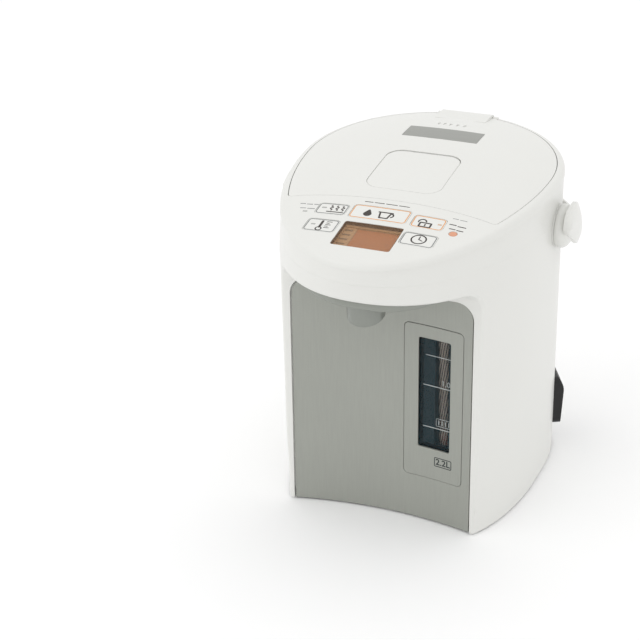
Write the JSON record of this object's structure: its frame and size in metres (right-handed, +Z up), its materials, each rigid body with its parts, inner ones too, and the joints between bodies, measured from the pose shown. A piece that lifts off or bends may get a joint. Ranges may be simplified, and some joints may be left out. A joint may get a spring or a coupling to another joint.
{
  "type": "electric thermo pot",
  "caption": "Electric hot water dispenser with oval white shell, forward beak with control deck, hinged lid, carrying bail, front water gauge, vacuum vessel and pump.",
  "frame": {"origin": "on the table, under the middle of the bounding box of the pot with its handle lowered", "axes": "+Z up; the pouring side with the beak and spout faces -Y; +X is to the right seen from the pouring side; the lid hinge is at +Y"},
  "size_m": [0.2462, 0.2893, 0.2733],
  "materials": {
    "white_shell": "satin white moulded plastic",
    "silver_panel": "silver-grey lacquered sheet with faint vertical brushing",
    "grey_trim": "satin mid grey plastic",
    "gauge_glass": "clear pane",
    "tube_glass": "clear tube",
    "dark_backing": "dark blue-grey plastic",
    "red_float": "red plastic",
    "clear_lens": "clear window",
    "lcd_face": "amber reflective display",
    "lamp": "orange lens",
    "button_white": "satin white moulded plastic",
    "silver_label": "thin bright foil plate",
    "black_plastic": "black moulded plastic",
    "rubber_black": "soft black rubber",
    "silicone": "translucent silicone rubber",
    "stainless": "brushed stainless steel",
    "steel_small": "zinc plated steel",
    "brass_pins": "plated contact pins",
    "board_green": "circuit board",
    "grey_inner": "grey heat resistant plastic",
    "magnet": "sintered ring magnet carrier",
    "aluminium_plate": "pressed aluminium"
  },
  "bodies": {
    "case": {"outer_body": "white_shell", "shoulder_ring": "white_shell", "deck_frame": "white_shell", "front_panel": "silver_panel", "gauge_frame": "silver_panel", "gauge_window": "gauge_glass", "gauge_backing": "dark_backing", "gauge_tube": "tube_glass", "beak_underside": "grey_trim", "nozzle_cover": "grey_trim", "spout_pipe": "silicone", "lid_well": "white_shell", "hinge_bracket": "white_shell", "hinge_pin": "steel_small", "vessel_inner": "stainless", "vessel_outer": "stainless", "vessel_gasket": "silicone", "heater_plate": "aluminium_plate", "heater_clamp": "steel_small", "thermistor": "grey_inner", "thermostat": "black_plastic", "suction_sleeve": "silicone", "pump_cover": "grey_inner", "pump_housing": "grey_inner", "pump_motor": "steel_small", "riser_elbow": "silicone", "tipover_valve": "grey_inner", "crossover_pipe": "silicone", "control_board": "board_green", "tact_switches": "black_plastic", "lcd_module": "lcd_face", "lcd_window": "clear_lens", "indicator_lamp": "lamp", "handle_pivots": "black_plastic", "base_plate": "black_plastic", "rubber_feet": "rubber_black", "base_screws": "steel_small", "power_board": "board_green", "inlet_hood": "black_plastic", "inlet_pins": "brass_pins", "inlet_magnet_plate": "steel_small"},
    "lid": {"lid_outer": "white_shell", "lid_inner": "grey_inner", "lid_packing": "silicone", "steam_baffle": "grey_inner", "label_plate": "silver_label", "lever_pin": "steel_small", "lever_spring": "steel_small"},
    "lid_lever": {"lid_lever": "white_shell"},
    "lid_latch": {"lid_latch": "grey_inner"},
    "handle": {"handle": "white_shell"},
    "dispense_button": {"dispense_button": "button_white"},
    "unlock_button": {"unlock_button": "button_white"},
    "keepwarm_button": {"keepwarm_button": "button_white"},
    "boil_button": {"boil_button": "button_white"},
    "timer_button": {"timer_button": "button_white"},
    "drive_magnet": {"drive_magnet": "magnet"},
    "pump_impeller": {"pump_impeller": "grey_inner"},
    "gauge_float": {"gauge_float": "red_float"},
    "valve_ball": {"valve_ball": "stainless"}
  },
  "joints": [
    {"name": "lid_hinge", "type": "hinge", "parent": "case", "child": "lid", "pos_m": [0, 0.124, 0.2648], "axis": [-1, 0, 0], "range_deg": [0, 80]},
    {"name": "lever_pivot", "type": "hinge", "parent": "lid", "child": "lid_lever", "pos_m": [0, 0.0218, 0.267], "axis": [-1, 0, 0], "range_deg": [0, 18], "stiffness_Nm_per_rad": 0.2, "springref_deg": -5.73},
    {"name": "latch_slide", "type": "slide", "parent": "lid", "child": "lid_latch", "axis": [0, 1, 0], "range_m": [0, 0.0036]},
    {"name": "handle_swing", "type": "hinge", "parent": "case", "child": "handle", "pos_m": [0, 0.03, 0.222], "axis": [1, 0, 0], "range_deg": [0, 95]},
    {"name": "dispense_press", "type": "slide", "parent": "case", "child": "dispense_button", "axis": [0, 0.1575, -0.9875], "range_m": [0, 0.0006], "stiffness_N_per_m": 600, "springref_m": -0.0004},
    {"name": "unlock_press", "type": "slide", "parent": "case", "child": "unlock_button", "axis": [0, 0.1575, -0.9875], "range_m": [0, 0.0006], "stiffness_N_per_m": 600, "springref_m": -0.0004},
    {"name": "keepwarm_press", "type": "slide", "parent": "case", "child": "keepwarm_button", "axis": [0, 0.1575, -0.9875], "range_m": [0, 0.0006], "stiffness_N_per_m": 600, "springref_m": -0.0004},
    {"name": "boil_press", "type": "slide", "parent": "case", "child": "boil_button", "axis": [0, 0.1575, -0.9875], "range_m": [0, 0.0006], "stiffness_N_per_m": 600, "springref_m": -0.0004},
    {"name": "timer_press", "type": "slide", "parent": "case", "child": "timer_button", "axis": [0, 0.1575, -0.9875], "range_m": [0, 0.0006], "stiffness_N_per_m": 600, "springref_m": -0.0004},
    {"name": "drive_spin", "type": "hinge", "parent": "case", "child": "drive_magnet", "pos_m": [0.035, -0.018, 0.035], "axis": [0, 0, 1], "continuous": true},
    {"name": "impeller_spin", "type": "hinge", "parent": "case", "child": "pump_impeller", "pos_m": [0.035, -0.018, 0.046], "axis": [0, 0, 1], "continuous": true},
    {"name": "float_rise", "type": "slide", "parent": "case", "child": "gauge_float", "axis": [0, 0, 1], "range_m": [0, 0.072]},
    {"name": "valve_ball_travel", "type": "slide", "parent": "case", "child": "valve_ball", "axis": [0, 0, 1], "range_m": [0, 0.0081]}
  ],
  "couplings": [
    {"joint": "latch_slide", "follows": "lever_pivot", "m_per_rad": 0.0108},
    {"joint": "impeller_spin", "follows": "drive_spin", "ratio": 1}
  ]
}
